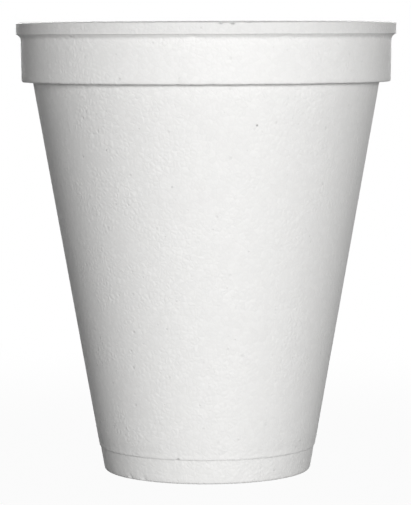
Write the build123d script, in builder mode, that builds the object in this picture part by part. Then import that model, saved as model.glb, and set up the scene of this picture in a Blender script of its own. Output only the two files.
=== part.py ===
"""Foam drinking cup, moulded in one piece from expanded polystyrene beads.

The cup stands on its foot, with +Z up and the origin at the middle of the foot.
Every length is in millimetres.
"""

import os
from math import atan, cos

from build123d import *

# Overall sizes
height = 109.0
lip_diameter = 92.0
foot_diameter = 50.3
wall_thickness = 2.0
floor_thickness = 2.4

# Lip: a flat-sided bead round the mouth, domed on top, with a slanted undercut that a lid catches in
lip_height = 3.0
lip_overhang = 1.1
rim_crown = 0.3
undercut_slant = 0.8
undercut_limit_share = 0.9

# Stacking band: a thick ring under the lip, whose ledge rests on the rim of the next cup
band_height = 11.4
band_draw_in = 0.2
ledge_width = 2.7
ledge_edge_break = 0.35

# Foot: a short stretch below the sloped step where the two halves of the mould meet
parting_level = 5.9
parting_step = 0.22
parting_step_height = 0.4
foot_edge_break = 0.5

# Underside: a recess inside the foot ring, and the round mark of the bead filler
foot_ring_width = 3.2
recess_depth = 3.0
recess_draft_angle = 15.0
filler_mark_diameter = 9.0
filler_mark_depth = 0.4

# Inside
floor_corner_round = 3.0

# How near a ring lies to the level that it is picked by
level_tolerance = 0.01

# Levels above the table
rim_edge_level = height - rim_crown
band_top = height - lip_height
ledge_level = band_top - band_height
floor_level = recess_depth + floor_thickness
parting_top = parting_level + parting_step_height / 2
parting_bottom = parting_level - parting_step_height / 2

# Radii, with one taper for the foot, the wall and the inside
lip_radius = lip_diameter / 2
band_top_radius = lip_radius - lip_overhang
band_bottom_radius = band_top_radius - band_draw_in
ledge_root_radius = band_bottom_radius - ledge_width
foot_radius = foot_diameter / 2
taper = (ledge_root_radius - parting_step - foot_radius) / ledge_level
wall_across = wall_thickness / cos(atan(taper))


def foot_radius_at(level):
    """Outside radius of the foot, below the parting line."""
    return foot_radius + taper * level


def wall_radius_at(level):
    """Outside radius of the wall, above the parting line."""
    return foot_radius_at(level) + parting_step


def cavity_radius_at(level):
    """Inside radius of the wall."""
    return wall_radius_at(level) - wall_across


def rings_at(level):
    """Round edges of the cup at a level, the smallest first."""
    rings = cup.edges().filter_by(GeomType.CIRCLE)
    rings = rings.filter_by_position(Axis.Z, level - level_tolerance, level + level_tolerance)
    return rings.sort_by(SortBy.RADIUS)


with BuildPart() as cup:
    # Floor, wall, stacking band and lip: half of the section, turned about the axis
    with BuildSketch(Plane.XZ):
        with BuildLine():
            inside = FilletPolyline(
                (0, floor_level),
                (cavity_radius_at(floor_level), floor_level),
                (cavity_radius_at(rim_edge_level), rim_edge_level),
                radius=floor_corner_round,
            )
            outside = Polyline(
                (lip_radius, rim_edge_level),
                (lip_radius, band_top),
                (band_top_radius, band_top),
                (band_bottom_radius, ledge_level),
                (ledge_root_radius, ledge_level),
                (wall_radius_at(parting_top), parting_top),
                (foot_radius_at(parting_bottom), parting_bottom),
                (foot_radius, 0),
                (0, 0),
            )
            SagittaArc(inside @ 1, outside @ 0, rim_crown)
            Line(outside @ 1, inside @ 0)
        make_face()
    revolve(axis=Axis.Z)

    # Undercut below the lip, slanted as far out as the lip's underside has room for
    chamfer(rings_at(band_top)[0], min(undercut_slant, undercut_limit_share * lip_overhang))

    # Outer edges of the ledge and the foot, blunted as the beads leave them
    chamfer(rings_at(ledge_level)[-1], ledge_edge_break)
    chamfer(rings_at(0)[-1], foot_edge_break)

    # Recess inside the foot ring, narrower towards the floor so that it leaves the mould
    with BuildSketch(Plane.XY):
        Circle(foot_radius - foot_ring_width)
    extrude(amount=recess_depth, taper=recess_draft_angle, mode=Mode.SUBTRACT)

    # Mark of the bead filler, sunk into the middle of the underside
    with BuildSketch(Plane.XY.offset(recess_depth)):
        Circle(filler_mark_diameter / 2)
    extrude(amount=filler_mark_depth, mode=Mode.SUBTRACT)

os.makedirs("parts", exist_ok=True)
cup.part.label = "cup"
export_step(cup.part, "parts/cup.step")
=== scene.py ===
"""Looks of the foam cup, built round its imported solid.

One moulded piece stands for the solid: the cup's section turned about its axis, with the small
irregularities that fused beads leave. Every length is in metres unless its name says otherwise.
"""

from math import atan, cos, radians, sin, tan, tau

import bpy
from mathutils import Matrix, Vector


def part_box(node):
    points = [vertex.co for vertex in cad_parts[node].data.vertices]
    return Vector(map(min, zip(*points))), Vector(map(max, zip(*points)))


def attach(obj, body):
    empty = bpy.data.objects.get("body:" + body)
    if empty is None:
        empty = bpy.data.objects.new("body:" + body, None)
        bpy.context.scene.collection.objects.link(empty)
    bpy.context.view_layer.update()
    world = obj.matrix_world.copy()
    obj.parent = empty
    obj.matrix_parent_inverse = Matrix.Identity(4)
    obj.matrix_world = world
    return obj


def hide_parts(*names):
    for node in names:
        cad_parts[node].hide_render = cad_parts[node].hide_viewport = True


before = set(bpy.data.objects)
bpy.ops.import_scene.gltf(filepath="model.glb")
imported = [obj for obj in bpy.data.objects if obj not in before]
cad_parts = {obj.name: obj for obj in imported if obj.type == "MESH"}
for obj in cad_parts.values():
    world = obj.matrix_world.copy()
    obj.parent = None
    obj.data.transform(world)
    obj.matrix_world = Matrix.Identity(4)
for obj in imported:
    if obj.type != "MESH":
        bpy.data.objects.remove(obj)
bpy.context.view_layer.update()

# Sizes of the cup: the overall ones from its solid's box, the rest as in its solid
cup_low, cup_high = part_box("cup")
height = cup_high.z - cup_low.z
lip_radius = (cup_high.x - cup_low.x) / 2
foot_radius = 0.02515
wall_thickness = 0.0020
lip_height = 0.0030
lip_overhang = 0.0011
rim_crown = 0.0003
undercut_slant = 0.0008
band_height = 0.0114
band_draw_in = 0.0002
ledge_width = 0.0027
parting_level = 0.0059
parting_step = 0.00022
parting_step_height = 0.0004
foot_ring_width = 0.0032
recess_depth = 0.0030
recess_draft_angle = radians(15)
filler_mark_radius = 0.0045
filler_mark_depth = 0.0004
floor_thickness = 0.0024
floor_corner_round = 0.0030

# How far each edge is rounded by its beads
sharp_round = 0.00008
soft_round = 0.00025
rim_edge_round = 0.00035
undercut_round = 0.0011
undercut_top_round = 0.00045
ledge_edge_round = 0.00042
ledge_root_round = 0.00060
foot_edge_round = 0.00060

# Mesh: the steps round the cup, the gaps between rings on each kind of stretch, the reach of close rings
steps_round = 500
edge_gap = 0.0004
band_gap = 0.0007
wall_gap = 0.0026
hidden_gap = 0.0040
edge_zone = 0.0016
merge_distance = 1e-7

# Relief: slow waves everywhere, a wobble and beads where the rings lie close, nothing where the foot rests
wave_length = 0.016
wave_height = 0.00004
wobble_length = 0.0026
wobble_height = 0.00010
bead_size = 0.0009
bead_height = 0.00006
carried_gap = 0.00035
lost_gap = 0.00090
resting_height = 0.0005
seed = 4.0

# Middle of the range of a noise or a bead's tone
middle = 0.5

# Tones of the foam: its white, and how far each kind of mark lightens or darkens it
foam_white = 0.86
bead_tone_spread = 0.030
cloud_tone_spread = 0.05
seam_shade = 0.012
# painted shade in the voids between beads, which the relief also sinks
void_painted_shade = 0.055
# painted shade on the lip: its colour drawn greyer than the band below it
lip_painted_shade = 0.065
# painted shade in the pits and in the rim's chips
pit_painted_shade = 0.45
green_share = 0.996
blue_share = 0.985

# Skin of the foam: its gloss, the sizes of its marks and how high they rise, in shares of the relief
foam_gloss = 0.03
plain_roughness = 0.44
bead_roughness = 0.1
seam_roughness = 0.12
# width over which the painted shade on the lip fades in
lip_painted_shade_edge = 0.0005
skin_bead_size = 0.0012
bead_warp = 0.0005
seam_width = 0.14
dome_width = 0.45
clouds_per_metre = 110
grains_per_metre = 3500
void_spacing = 0.0028
void_reach = 0.0006
void_core_share = 0.3
relief_height = 0.00005
bead_rise = 0.5
grain_rise = 0.12
void_sink = 1.0
pit_sink = 3.0
calm_cloud = 0.35
lively_cloud = 0.65
calm_share = 0.4

# Flaws, each as (degrees to the right of the front, level, reach, depth), raised where depth is negative
flaws = [
    # Chips and a worn stretch on the rim's front edge, and a raised end of the rim on the right
    (4.2, 0.1088, 0.0009, 0.00045),
    (7.6, 0.1088, 0.0009, 0.00050),
    (12.4, 0.1088, 0.0022, 0.00012),
    (17.1, 0.1088, 0.0014, 0.00012),
    (82.0, 0.1089, 0.0024, -0.00012),
    (-31.0, 0.1088, 0.0012, 0.00014),
    (128.0, 0.1087, 0.0013, 0.00025),
    (-147.0, 0.1087, 0.0010, 0.00030),
    # Kinks along the lip's lower edge and the ledge's edge
    (-4.0, 0.1059, 0.0014, 0.00025),
    (0.5, 0.1059, 0.0010, -0.00015),
    (23.5, 0.1059, 0.0013, 0.00022),
    (-8.2, 0.0950, 0.0013, 0.00025),
    (-5.2, 0.0950, 0.0009, -0.00012),
    (158.0, 0.0947, 0.0014, 0.00020),
    # Nick in the parting line with the crumb beside it, and the ragged edge of the foot
    (-15.4, 0.0060, 0.0008, 0.00016),
    (-13.3, 0.0052, 0.0006, -0.00015),
    (104.0, 0.0060, 0.0009, 0.00020),
    (-46.5, 0.0004, 0.0010, 0.00028),
    (-41.5, 0.0004, 0.0008, -0.00012),
    (-36.8, 0.0004, 0.0010, 0.00028),
]

# Pits in the wall and in the rim's chips, sunk in the relief and darkened with painted shade, each as
# (degrees to the right of the front, level, reach, darkness)
pits = [
    (16.7, 0.08519, 0.00040, 1.0),
    (4.2, 0.10878, 0.00075, 1.5),
    (7.6, 0.10872, 0.00080, 1.6),
    (-36.1, 0.07936, 0.00035, 0.4),
    (-34.5, 0.06677, 0.00035, 0.4),
    (-12.1, 0.07106, 0.00040, 0.4),
    (141.0, 0.05200, 0.00040, 0.7),
    (-118.0, 0.03100, 0.00035, 0.6),
]

# Photograph's frame and the camera that fits the cup's rim, ledge and foot in it
picture_height = 505
focal_pixels = 2576.3
sensor_width_mm = 36.0
camera_distance = 0.6269
camera_level = 0.10575
aim_level = 0.05291
aim_left_pixels = 1.2
camera_roll = 0.0031

# Stage: the floor, which fades to plain white round the cup, and the lamps
floor_reach = 20.0
floor_grey = 0.12
floor_roughness = 0.9
floor_white_share = 0.96
floor_fade_start = 0.06
floor_fade_end = 0.26
ambient_strength = 0.08
softbox_width = 0.4
softbox_distance = 1.2
mouth_lamp_level = 0.2
mouth_lamp_radius = 0.02
mouth_lamp_power = 0.6
mouth_beam_radius = 0.034
mouth_beam_blend = 0.3

# Soft lamps, each as (name, degrees to the right of the front, degrees up, power)
softboxes = [
    ("key", 12, 7, 12.9),
    ("fill", -36, 7, 1.4),
    ("back_left", -168, 12, 7.2),
    ("back_right", 166, 12, 7.2),
]


class Wiring:
    """A node tree and the few moves that fill it."""

    def __init__(self, tree):
        self.tree = tree

    def feed(self, socket, value):
        """Links a socket to the value, or sets it where the value is plain."""
        if isinstance(value, bpy.types.NodeSocket):
            self.tree.links.new(value, socket)
        else:
            socket.default_value = value

    def add(self, kind, feeds=None, **settings):
        """Adds a node with its settings, and feeds the sockets that are named."""
        node = self.tree.nodes.new(kind)
        for name, value in settings.items():
            setattr(node, name, value)
        for socket, value in (feeds or {}).items():
            self.feed(node.inputs[socket], value)
        return node

    def sum(self, operation, *values):
        """The result of one Math node."""
        node = self.add("ShaderNodeMath", dict(enumerate(values)), operation=operation)
        return node.outputs[0]

    def vector(self, operation, *values):
        """The result of one Vector Math node, a vector or a value as the operation gives it."""
        node = self.add("ShaderNodeVectorMath", dict(enumerate(values)), operation=operation)
        return next(output for output in node.outputs if output.enabled)

    def whole(self, operation, *values):
        """The result of one Integer Math node."""
        node = self.add("FunctionNodeIntegerMath", dict(enumerate(values)), operation=operation)
        return node.outputs[0]

    def smooth(self, value, start, end):
        """0 up to start, 1 from end on, and a smooth step between them."""
        feeds = {"Value": value, "From Min": start, "From Max": end}
        return self.add("ShaderNodeMapRange", feeds, interpolation_type="SMOOTHSTEP").outputs[0]


def new_group(name, kind, inputs, outputs):
    """A node group with named sockets: its wiring, its inputs by name and its output node."""
    tree = bpy.data.node_groups.new(name, kind)
    for socket_name, socket_kind in inputs:
        tree.interface.new_socket(socket_name, in_out="INPUT", socket_type=socket_kind)
    for socket_name, socket_kind in outputs:
        tree.interface.new_socket(socket_name, in_out="OUTPUT", socket_type=socket_kind)
    wiring = Wiring(tree)
    start = wiring.add("NodeGroupInput")
    given = {output.name: output for output in start.outputs if output.name}
    return wiring, given, wiring.add("NodeGroupOutput")


def point_object(name, points, edges, numbers):
    """An object of points and edges whose points carry numbers, each given as (kind, rows, column)."""
    mesh = bpy.data.meshes.new(name)
    mesh.from_pydata(points, edges, [])
    for number_name, (kind, rows, column) in numbers.items():
        attribute = mesh.attributes.new(number_name, kind, "POINT")
        attribute.data.foreach_set("value", [row[column] for row in rows])
    holder = bpy.data.objects.new(name, mesh)
    bpy.context.scene.collection.objects.link(holder)
    return holder


# Section of the cup

ledge_level = height - lip_height - band_height
ledge_root_radius = lip_radius - lip_overhang - band_draw_in - ledge_width
taper = (ledge_root_radius - parting_step - foot_radius) / ledge_level


def foot_radius_at(level):
    """Outside radius of the foot, below the parting line."""
    return foot_radius + taper * level


def wall_radius_at(level):
    """Outside radius of the wall, above the parting line."""
    return foot_radius_at(level) + parting_step


def cavity_radius_at(level):
    """Inside radius of the wall."""
    return wall_radius_at(level) - wall_thickness / cos(atan(taper))


def section_corners():
    """Corners of the section, from the middle of the underside round the lip to the middle of the floor.

    Each is (radius, level, round, steps in the round, gap between rings on the stretch after it).
    """
    mark_level = recess_depth + filler_mark_depth
    floor_level = recess_depth + floor_thickness
    ring_radius = foot_radius - foot_ring_width
    recess_radius = ring_radius - recess_depth * tan(recess_draft_angle)
    parting_top = parting_level + parting_step_height / 2
    parting_bottom = parting_level - parting_step_height / 2
    rim_level = height - rim_crown
    lip_level = height - lip_height
    band_radius = lip_radius - lip_overhang
    mouth_radius = cavity_radius_at(rim_level)
    rim_half_width = (lip_radius - mouth_radius) / 2
    crown_round = (rim_half_width**2 + rim_crown**2) / (2 * rim_crown)
    crown_corner_level = rim_level + rim_half_width * tan(2 * atan(rim_crown / rim_half_width))
    return [
        (0, mark_level, 0, 1, hidden_gap),
        (filler_mark_radius, mark_level, sharp_round, 2, hidden_gap),
        (filler_mark_radius, recess_depth, sharp_round, 2, hidden_gap),
        (recess_radius, recess_depth, soft_round, 3, wall_gap),
        (ring_radius, 0, soft_round, 3, band_gap),
        (foot_radius, 0, foot_edge_round, 4, band_gap),
        (foot_radius_at(parting_bottom), parting_bottom, sharp_round, 2, edge_gap),
        (wall_radius_at(parting_top), parting_top, sharp_round, 2, edge_gap),
        (wall_radius_at(parting_top + edge_zone), parting_top + edge_zone, 0, 1, wall_gap),
        (wall_radius_at(ledge_level - edge_zone), ledge_level - edge_zone, 0, 1, edge_gap),
        (ledge_root_radius, ledge_level, ledge_root_round, 4, edge_gap),
        (band_radius - band_draw_in, ledge_level, ledge_edge_round, 5, band_gap),
        (band_radius, lip_level - undercut_slant, undercut_round, 6, edge_gap),
        (band_radius + undercut_slant, lip_level, undercut_top_round, 3, edge_gap),
        (lip_radius, lip_level, soft_round, 4, edge_gap),
        (lip_radius, rim_level, rim_edge_round, 6, edge_gap),
        (lip_radius - rim_half_width, crown_corner_level, crown_round, 6, edge_gap),
        (mouth_radius, rim_level, soft_round, 4, hidden_gap),
        (cavity_radius_at(floor_level), floor_level, floor_corner_round, 6, hidden_gap),
        (0, floor_level, 0, 1, hidden_gap),
    ]


def outside_radius_at(level):
    """Outside radius of the cup at a level, without the rounds."""
    if level > height - lip_height:
        return lip_radius
    if level > ledge_level:
        return lip_radius - lip_overhang
    return wall_radius_at(level) if level > parting_level else foot_radius_at(level)


def outside_place(degrees, level):
    """The point on the outside that lies so many degrees to the right of the front."""
    radius = outside_radius_at(level)
    return (radius * sin(radians(degrees)), -radius * cos(radians(degrees)), level)


def flaw_object():
    """The flaws as loose points on the outside, each with its reach and depth."""
    places = [outside_place(degrees, level) for degrees, level, *_ in flaws]
    numbers = {"reach": ("FLOAT", flaws, 2), "depth": ("FLOAT", flaws, 3)}
    return point_object("cup_flaws", places, [], numbers)


def section_object():
    """The section's corners as a chain of edges that carries each corner's numbers."""
    corners = section_corners()
    points = [(radius, 0, level) for radius, level, *_ in corners]
    edges = [(i, i + 1) for i in range(len(points) - 1)]
    numbers = {
        "round": ("FLOAT", corners, 2),
        "round_steps": ("INT", corners, 3),
        "gap": ("FLOAT", corners, 4),
    }
    return point_object("cup_section", points, edges, numbers)


# Geometry Nodes tree that turns the section into the cup


def named(wiring, name, kind="FLOAT"):
    """A named attribute of the geometry at hand."""
    return wiring.add("GeometryNodeInputNamedAttribute", {"Name": name}, data_type=kind).outputs[0]


def moulded_cup_tree():
    """Rounds the section's corners, turns it about the axis, closes it and gives it relief and flaws."""
    wiring, given, result = new_group(
        "Moulded cup",
        "GeometryNodeTree",
        [
            ("Section", "NodeSocketGeometry"),
            ("Flaws", "NodeSocketObject"),
            ("Steps Round", "NodeSocketInt"),
            ("Merge Distance", "NodeSocketFloat"),
            ("Wave Length", "NodeSocketFloat"),
            ("Wave Height", "NodeSocketFloat"),
            ("Wobble Length", "NodeSocketFloat"),
            ("Wobble Height", "NodeSocketFloat"),
            ("Bead Size", "NodeSocketFloat"),
            ("Bead Height", "NodeSocketFloat"),
            ("Carried Gap", "NodeSocketFloat"),
            ("Lost Gap", "NodeSocketFloat"),
            ("Resting Height", "NodeSocketFloat"),
            ("Seed", "NodeSocketFloat"),
            ("Foam", "NodeSocketMaterial"),
        ],
        [("Cup", "NodeSocketGeometry")],
    )
    add, whole, total = wiring.add, wiring.whole, wiring.sum

    # Rounded corners, then rings along each stretch at its own gap
    chain = add("GeometryNodeMeshToCurve", {"Mesh": given["Section"]})
    rounded = add(
        "GeometryNodeFilletCurve",
        {"Curve": chain.outputs[0], "Radius": named(wiring, "round"), "Limit Radius": True},
        mode="POLY",
    )
    wiring.feed(rounded.inputs["Count"], named(wiring, "round_steps", "INT"))
    here = add("GeometryNodeInputPosition").outputs[0]
    index = add("GeometryNodeInputIndex").outputs[0]
    ahead = add("GeometryNodeFieldAtIndex", {"Index": whole("ADD", index, 1)}, data_type="FLOAT_VECTOR")
    wiring.feed(ahead.inputs["Value"], here)
    stretch = wiring.vector("DISTANCE", here, ahead.outputs[0])
    cuts = total("FLOOR", total("DIVIDE", stretch, named(wiring, "gap")))
    rings = add("GeometryNodeSubdivideCurve", {"Curve": rounded.outputs[0], "Cuts": cuts})

    # A sheet with one row for each ring, bent round the axis
    ring_count = add("GeometryNodeAttributeDomainSize", {"Geometry": rings.outputs[0]}, component="CURVE")
    rows = ring_count.outputs["Point Count"]
    sheet = add(
        "GeometryNodeMeshGrid",
        {"Vertices X": whole("ADD", given["Steps Round"], 1), "Vertices Y": rows},
    )
    row = whole("MODULO", index, rows)
    column = whole("DIVIDE_FLOOR", index, rows)
    place = add(
        "GeometryNodeSampleIndex",
        {"Geometry": rings.outputs[0], "Value": here, "Index": row},
        data_type="FLOAT_VECTOR",
    )
    corner = add("ShaderNodeSeparateXYZ", {0: place.outputs[0]})
    angle = total("MULTIPLY", total("DIVIDE", column, given["Steps Round"]), tau)
    turned = add(
        "ShaderNodeCombineXYZ",
        {
            "X": total("MULTIPLY", corner.outputs["X"], total("COSINE", angle)),
            "Y": total("MULTIPLY", corner.outputs["X"], total("SINE", angle)),
            "Z": corner.outputs["Z"],
        },
    )
    bent = add("GeometryNodeSetPosition", {"Geometry": sheet.outputs["Mesh"], "Position": turned.outputs[0]})
    ring_gap = add("GeometryNodeSampleIndex", {"Geometry": rings.outputs[0], "Value": stretch, "Index": row})
    kept_gap = add(
        "GeometryNodeStoreNamedAttribute",
        {"Geometry": bent.outputs[0], "Name": "ring_gap", "Value": ring_gap.outputs[0]},
    )
    closed = add(
        "GeometryNodeMergeByDistance",
        {"Geometry": kept_gap.outputs[0], "Distance": given["Merge Distance"]},
    )

    # Relief along the normals: waves everywhere, beads where the rings are close enough to carry them
    def uneven_by(length, reach):
        """Noise about zero, with waves of a length, so high from its lowest to its highest point."""
        feeds = {"Vector": here, "W": given["Seed"], "Scale": total("DIVIDE", 1, length), "Detail": 1}
        noise = add("ShaderNodeTexNoise", feeds, noise_dimensions="4D").outputs[0]
        return total("MULTIPLY", total("SUBTRACT", noise, middle), reach)

    wave = uneven_by(given["Wave Length"], given["Wave Height"])
    wobble = uneven_by(given["Wobble Length"], given["Wobble Height"])
    beads = add(
        "ShaderNodeTexVoronoi",
        {"Vector": here, "W": given["Seed"], "Scale": total("DIVIDE", 1, given["Bead Size"])},
        voronoi_dimensions="4D",
    )
    lost = wiring.smooth(named(wiring, "ring_gap"), given["Carried Gap"], given["Lost Gap"])
    carried = total("SUBTRACT", 1, lost)
    bead = total("MULTIPLY", beads.outputs["Distance"], given["Bead Height"])
    fine = total("MULTIPLY", total("SUBTRACT", wobble, bead), carried)

    # Flaws: each point is pushed in by the flaw nearest to it
    marks = add("GeometryNodeObjectInfo", {"Object": given["Flaws"]}).outputs["Geometry"]
    nearest = add("GeometryNodeSampleNearest", {"Geometry": marks, "Sample Position": here}).outputs[0]

    def of_nearest(value, kind="FLOAT"):
        feeds = {"Geometry": marks, "Value": value, "Index": nearest}
        return add("GeometryNodeSampleIndex", feeds, data_type=kind).outputs[0]

    away = wiring.vector("DISTANCE", here, of_nearest(here, "FLOAT_VECTOR"))
    spared = wiring.smooth(away, 0, of_nearest(named(wiring, "reach")))
    flaw = total("MULTIPLY", total("SUBTRACT", 1, spared), of_nearest(named(wiring, "depth")))

    level = add("ShaderNodeSeparateXYZ", {0: here}).outputs["Z"]
    free = wiring.smooth(level, 0, given["Resting Height"])
    push = total("MULTIPLY", total("SUBTRACT", total("ADD", wave, fine), flaw), free)
    normal = add("GeometryNodeInputNormal").outputs[0]
    offset = add("ShaderNodeVectorMath", {0: normal, "Scale": push}, operation="SCALE").outputs[0]
    uneven = add("GeometryNodeSetPosition", {"Geometry": closed.outputs[0], "Offset": offset})
    plain = add("GeometryNodeRemoveAttribute", {"Geometry": uneven.outputs[0], "Name": "ring_gap"})

    smooth = add("GeometryNodeSetShadeSmooth", {"Geometry": plain.outputs[0], "Shade Smooth": True})
    whole_piece = add("GeometryNodeRealizeInstances", {"Geometry": smooth.outputs[0]})
    dressed = add("GeometryNodeSetMaterial", {"Geometry": whole_piece.outputs[0], "Material": given["Foam"]})
    wiring.feed(result.inputs["Cup"], dressed.outputs[0])
    return wiring.tree


def moulded_cup(foam):
    """The cup's finished mesh, from the section and the tree."""
    section = section_object()
    marks = flaw_object()
    modifier = section.modifiers.new("moulding", "NODES")
    modifier.node_group = moulded_cup_tree()
    values = {
        "Flaws": marks,
        "Steps Round": steps_round,
        "Merge Distance": merge_distance,
        "Wave Length": wave_length,
        "Wave Height": wave_height,
        "Wobble Length": wobble_length,
        "Wobble Height": wobble_height,
        "Bead Size": bead_size,
        "Bead Height": bead_height,
        "Carried Gap": carried_gap,
        "Lost Gap": lost_gap,
        "Resting Height": resting_height,
        "Seed": seed,
        "Foam": foam,
    }
    for item in modifier.node_group.interface.items_tree:
        if item.name in values:
            modifier[item.identifier] = values[item.name]
    graph = bpy.context.evaluated_depsgraph_get()
    mesh = bpy.data.meshes.new_from_object(section.evaluated_get(graph), depsgraph=graph)
    bpy.data.objects.remove(section)
    bpy.data.objects.remove(marks)
    cup = bpy.data.objects.new("foam_cup", mesh)
    bpy.context.scene.collection.objects.link(cup)
    return cup


# Foam material


def fused_beads_group():
    """Beads pressed together: a tone for each bead, the seams between them and the height of their domes."""
    wiring, given, result = new_group(
        "Fused beads",
        "ShaderNodeTree",
        [("Vector", "NodeSocketVector"), ("Bead Size", "NodeSocketFloat")],
        [("Tone", "NodeSocketFloat"), ("Seam", "NodeSocketFloat"), ("Dome", "NodeSocketFloat")],
    )
    per_metre = wiring.sum("DIVIDE", 1, given["Bead Size"])
    warp = wiring.add("ShaderNodeTexNoise", {"Vector": given["Vector"], "Scale": per_metre, "Detail": 1})
    about_zero = wiring.vector("SUBTRACT", warp.outputs["Color"], (middle, middle, middle))
    shift = wiring.add("ShaderNodeVectorMath", {0: about_zero, "Scale": bead_warp}, operation="SCALE")
    place = wiring.vector("ADD", given["Vector"], shift.outputs[0])
    cell_feeds = {"Vector": place, "Scale": per_metre}
    beads = wiring.add("ShaderNodeTexVoronoi", cell_feeds)
    borders = wiring.add("ShaderNodeTexVoronoi", cell_feeds, feature="DISTANCE_TO_EDGE")
    tone = wiring.add("ShaderNodeSeparateColor", {0: beads.outputs["Color"]})
    seam = wiring.sum("SUBTRACT", 1, wiring.smooth(borders.outputs["Distance"], 0, seam_width))
    wiring.feed(result.inputs["Tone"], tone.outputs[0])
    wiring.feed(result.inputs["Seam"], seam)
    wiring.feed(result.inputs["Dome"], wiring.smooth(borders.outputs["Distance"], 0, dome_width))
    return wiring.tree


def sparse_voids_group():
    """Small voids left between beads, no two of one size: 1 in a void, 0 round it."""
    wiring, given, result = new_group(
        "Sparse voids",
        "ShaderNodeTree",
        [("Vector", "NodeSocketVector"), ("Spacing", "NodeSocketFloat"), ("Reach", "NodeSocketFloat")],
        [("Mask", "NodeSocketFloat")],
    )
    per_metre = wiring.sum("DIVIDE", 1, given["Spacing"])
    cells = wiring.add("ShaderNodeTexVoronoi", {"Vector": given["Vector"], "Scale": per_metre})
    size = wiring.add("ShaderNodeSeparateColor", {0: cells.outputs["Color"]}).outputs[0]
    reach = wiring.sum("MULTIPLY", wiring.sum("MULTIPLY", given["Reach"], per_metre), size)
    spared = wiring.smooth(cells.outputs["Distance"], wiring.sum("MULTIPLY", reach, void_core_share), reach)
    wiring.feed(result.inputs["Mask"], wiring.sum("SUBTRACT", 1, spared))
    return wiring.tree


def pit_group():
    """One pit: 1 at its place, 0 from its reach on."""
    wiring, given, result = new_group(
        "Pit",
        "ShaderNodeTree",
        [("Vector", "NodeSocketVector"), ("Place", "NodeSocketVector"), ("Reach", "NodeSocketFloat")],
        [("Mask", "NodeSocketFloat")],
    )
    away = wiring.vector("DISTANCE", given["Vector"], given["Place"])
    wiring.feed(result.inputs["Mask"], wiring.sum("SUBTRACT", 1, wiring.smooth(away, 0, given["Reach"])))
    return wiring.tree


def foam_material():
    """White foam: bead by bead a little lighter or darker, with fine seams, voids and pits, and painted
    shade on the lip and in the voids and pits.
    """
    material = bpy.data.materials.new("white_foam")
    material.use_nodes = True
    wiring = Wiring(material.node_tree)
    total = wiring.sum
    shader = material.node_tree.nodes["Principled BSDF"]
    where = wiring.add("ShaderNodeTexCoord").outputs["Object"]
    beads = wiring.add("ShaderNodeGroup", node_tree=fused_beads_group())
    wiring.feed(beads.inputs["Vector"], where)
    wiring.feed(beads.inputs["Bead Size"], skin_bead_size)
    tone, seam, dome = beads.outputs["Tone"], beads.outputs["Seam"], beads.outputs["Dome"]
    cloud_feeds = {"Vector": where, "Scale": clouds_per_metre, "Detail": 3}
    cloud = wiring.add("ShaderNodeTexNoise", cloud_feeds).outputs[0]
    grain_feeds = {"Vector": where, "Scale": grains_per_metre, "Detail": 2}
    grain = wiring.add("ShaderNodeTexNoise", grain_feeds).outputs[0]

    voids = wiring.add("ShaderNodeGroup", node_tree=sparse_voids_group())
    wiring.feed(voids.inputs["Vector"], where)
    wiring.feed(voids.inputs["Spacing"], void_spacing)
    wiring.feed(voids.inputs["Reach"], void_reach)
    void = voids.outputs["Mask"]

    up = wiring.add("ShaderNodeSeparateXYZ", {0: where}).outputs["Z"]
    across = wiring.vector("LENGTH", wiring.vector("MULTIPLY", where, (1, 1, 0)))
    # mask of the lip's outside, where the painted shade lies
    lip_level = height - lip_height
    above = wiring.smooth(up, lip_level, lip_level + lip_painted_shade_edge)
    outer = wiring.smooth(across, cavity_radius_at(height), lip_radius - lip_painted_shade_edge)
    painted_lip_shade_mask = total("MULTIPLY", above, outer)

    # Colour: the moulded white, a little greyer in the seams, and with painted shade that greys the lip, the
    # voids and the pits
    light = total("MULTIPLY_ADD", total("SUBTRACT", tone, middle), bead_tone_spread, foam_white)
    light = total("MULTIPLY_ADD", total("SUBTRACT", cloud, middle), cloud_tone_spread, light)
    light = total("MULTIPLY_ADD", seam, -seam_shade, light)
    # painted shade in the voids
    light = total("MULTIPLY_ADD", void, -void_painted_shade, light)
    # painted shade that makes the lip greyer
    light = total("MULTIPLY_ADD", painted_lip_shade_mask, -lip_painted_shade, light)
    pit_tree = pit_group()
    sunk = 0.0
    for degrees, level, reach, darkness in pits:
        pit = wiring.add("ShaderNodeGroup", node_tree=pit_tree)
        wiring.feed(pit.inputs["Vector"], where)
        wiring.feed(pit.inputs["Place"], outside_place(degrees, level))
        wiring.feed(pit.inputs["Reach"], reach)
        sunk = total("MULTIPLY_ADD", pit.outputs["Mask"], darkness, sunk)
    # painted shade in the pits and chips
    light = total("MULTIPLY_ADD", sunk, -pit_painted_shade, light)
    tint = wiring.add(
        "ShaderNodeCombineColor",
        {0: light, 1: total("MULTIPLY", light, green_share), 2: total("MULTIPLY", light, blue_share)},
    )
    wiring.feed(shader.inputs["Base Color"], tint.outputs[0])
    rough = total("MULTIPLY_ADD", tone, bead_roughness, plain_roughness)
    rough = total("MULTIPLY_ADD", seam, seam_roughness, rough)
    wiring.feed(shader.inputs["Roughness"], rough)
    wiring.feed(shader.inputs["Specular IOR Level"], foam_gloss)

    # Surface: domed beads with seams between them and a fine grain, calmer in some places than in others
    rise = total("MULTIPLY_ADD", tone, bead_rise, dome)
    rise = total("MULTIPLY_ADD", grain, grain_rise, rise)
    lively = wiring.smooth(cloud, calm_cloud, lively_cloud)
    rise = total("MULTIPLY", rise, total("MULTIPLY_ADD", lively, 1 - calm_share, calm_share))
    rise = total("MULTIPLY_ADD", void, -void_sink, rise)
    rise = total("MULTIPLY_ADD", sunk, -pit_sink, rise)
    bump = wiring.add("ShaderNodeBump", {"Height": rise, "Distance": relief_height, "Strength": 1})
    wiring.feed(shader.inputs["Normal"], bump.outputs[0])
    return material


# Stage: floor, world, lamps and camera


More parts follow.
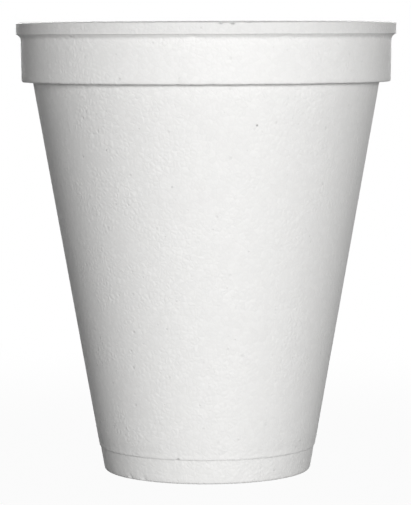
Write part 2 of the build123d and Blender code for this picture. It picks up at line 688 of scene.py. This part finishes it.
def seen_directly(wiring):
    """1 for rays from the camera or off a glossy or clear surface, 0 for the light that falls on things."""
    path = wiring.add("ShaderNodeLightPath").outputs
    mirrored = wiring.sum("MAXIMUM", path["Is Glossy Ray"], path["Is Transmission Ray"])
    return wiring.sum("MAXIMUM", path["Is Camera Ray"], mirrored)


def white_world():
    """A world that looks white and lights the cup evenly with the ambient strength."""
    world = bpy.data.worlds.new("studio")
    bpy.context.scene.world = world
    world.use_nodes = True
    wiring = Wiring(world.node_tree)
    light = world.node_tree.nodes["Background"]
    wiring.feed(light.inputs["Color"], (1, 1, 1, 1))
    wiring.feed(light.inputs["Strength"], ambient_strength)
    white = wiring.add("ShaderNodeBackground", {"Color": (1, 1, 1, 1), "Strength": 1})
    shown = seen_directly(wiring)
    mix = wiring.add("ShaderNodeMixShader", {0: shown, 1: light.outputs[0], 2: white.outputs[0]})
    wiring.feed(world.node_tree.nodes["World Output"].inputs["Surface"], mix.outputs[0])


def floor_object():
    """A wide pale floor under the foot, which shows the cup's shadow close by."""
    corners = [(x * floor_reach, y * floor_reach, 0) for x, y in ((-1, -1), (1, -1), (1, 1), (-1, 1))]
    mesh = bpy.data.meshes.new("floor")
    mesh.from_pydata(corners, [], [(0, 1, 2, 3)])
    floor = bpy.data.objects.new("floor", mesh)
    bpy.context.scene.collection.objects.link(floor)
    material = bpy.data.materials.new("pale_floor")
    material.use_nodes = True
    wiring = Wiring(material.node_tree)
    shader = material.node_tree.nodes["Principled BSDF"]
    wiring.feed(shader.inputs["Base Color"], (floor_grey, floor_grey, floor_grey, 1))
    wiring.feed(shader.inputs["Roughness"], floor_roughness)
    wiring.feed(shader.inputs["Specular IOR Level"], 0.0)
    glow = wiring.add("ShaderNodeEmission", {"Color": (1, 1, 1, 1), "Strength": 1})
    distance = wiring.vector("LENGTH", wiring.add("ShaderNodeTexCoord").outputs["Object"])
    fade = wiring.smooth(distance, floor_fade_start, floor_fade_end)
    share = wiring.sum("MULTIPLY_ADD", fade, 1 - floor_white_share, floor_white_share)
    shown = wiring.sum("MULTIPLY", share, seen_directly(wiring))
    mix = wiring.add("ShaderNodeMixShader", {0: shown, 1: shader.outputs[0], 2: glow.outputs[0]})
    wiring.feed(material.node_tree.nodes["Material Output"].inputs["Surface"], mix.outputs[0])
    mesh.materials.append(material)


def round_cup(azimuth, elevation, distance):
    """The place at a distance from the cup's middle, so many degrees to the right of the front and up."""
    a, e = radians(azimuth), radians(elevation)
    return Vector((sin(a) * cos(e), -cos(a) * cos(e), sin(e))) * distance + Vector((0, 0, height / 2))


def hang(lamp, place, aim):
    """Hangs a lamp at its place, facing the aim."""
    holder = bpy.data.objects.new(lamp.name, lamp)
    holder.location = place
    holder.rotation_mode = "QUATERNION"
    holder.rotation_quaternion = (aim - place).to_track_quat("-Z", "Y")
    bpy.context.scene.collection.objects.link(holder)


def softbox(name, azimuth, elevation, power):
    """A square lamp that faces the cup's middle."""
    lamp = bpy.data.lights.new(name, "AREA")
    lamp.size = softbox_width
    lamp.energy = power
    hang(lamp, round_cup(azimuth, elevation, softbox_distance), Vector((0, 0, height / 2)))


def mouth_lamp():
    """A soft lamp over the mouth, whose beam lights the inside and stays clear of the rim."""
    place = Vector((0, 0, mouth_lamp_level))
    aim = Vector((0, 0, height))
    lamp = bpy.data.lights.new("mouth", "SPOT")
    lamp.spot_size = 2 * atan(mouth_beam_radius / (aim - place).length)
    lamp.spot_blend = mouth_beam_blend
    lamp.shadow_soft_size = mouth_lamp_radius
    lamp.energy = mouth_lamp_power
    hang(lamp, place, aim)


def photo_camera():
    """The camera at the photograph's place, with its small roll."""
    data = bpy.data.cameras.new("photo_camera")
    data.sensor_width = sensor_width_mm
    data.lens = focal_pixels * sensor_width_mm / picture_height
    camera = bpy.data.objects.new("photo_camera", data)
    place = Vector((0, -camera_distance, camera_level))
    aim = Vector((-aim_left_pixels / focal_pixels * camera_distance, 0, aim_level))
    turn = (aim - place).to_track_quat("-Z", "Y").to_matrix() @ Matrix.Rotation(-camera_roll, 3, "Z")
    camera.matrix_world = Matrix.Translation(place) @ turn.to_4x4()
    bpy.context.scene.collection.objects.link(camera)
    bpy.context.scene.camera = camera


cup = moulded_cup(foam_material())
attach(cup, "root")
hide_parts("cup")

floor_object()
white_world()
for lamp in softboxes:
    softbox(*lamp)
mouth_lamp()
photo_camera()
bpy.context.scene.view_settings.view_transform = "Standard"
